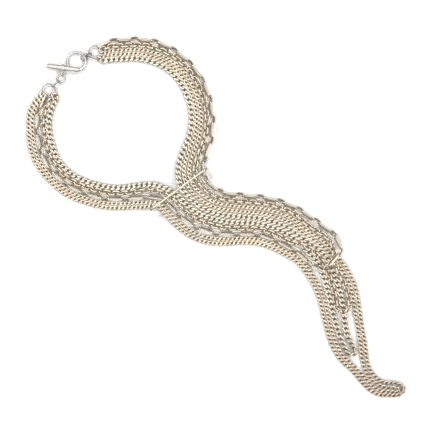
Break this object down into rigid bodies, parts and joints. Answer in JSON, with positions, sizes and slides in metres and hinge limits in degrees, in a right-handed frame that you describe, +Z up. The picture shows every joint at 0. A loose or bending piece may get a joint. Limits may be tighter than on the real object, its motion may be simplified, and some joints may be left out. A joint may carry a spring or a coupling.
{
  "type": "long multi-strand chain necklace",
  "caption": "Long necklace of mixed curb, cable and long-and-short chains, gathered by a slide bar into a tassel, with a toggle clasp, laid out flat.",
  "frame": {"origin": "centre of the outline, at the height of the surface that the necklace lies on", "axes": "+Z up from that surface, +Y towards the clasp at the top, +X towards the tassel's side"},
  "size_m": [0.3792, 0.3603, 0.0138],
  "materials": {
    "aged_silver": "warm silver colour, darkened in the recesses",
    "pale_silver": "paler silver colour, darkened in the recesses",
    "polished_silver": "smooth polished silver colour",
    "grey_silver": "smooth greyer silver colour",
    "cream_silver": "smooth cream silver colour"
  },
  "bodies": {
    "root": {"chain_fine_outer": "aged_silver", "chain_fine_inner": "aged_silver", "chain_wide": "pale_silver", "chain_cable": "aged_silver", "chain_long_and_short": "aged_silver", "slide_bar": "cream_silver", "toggle_bar": "polished_silver", "toggle_ring": "polished_silver", "ring_link_inner": "grey_silver", "ring_link_outer": "grey_silver", "bar_jump_ring": "grey_silver", "bar_oval_link": "grey_silver", "end_ring_right": "grey_silver", "end_ring_left": "grey_silver"}
  },
  "joints": []
}
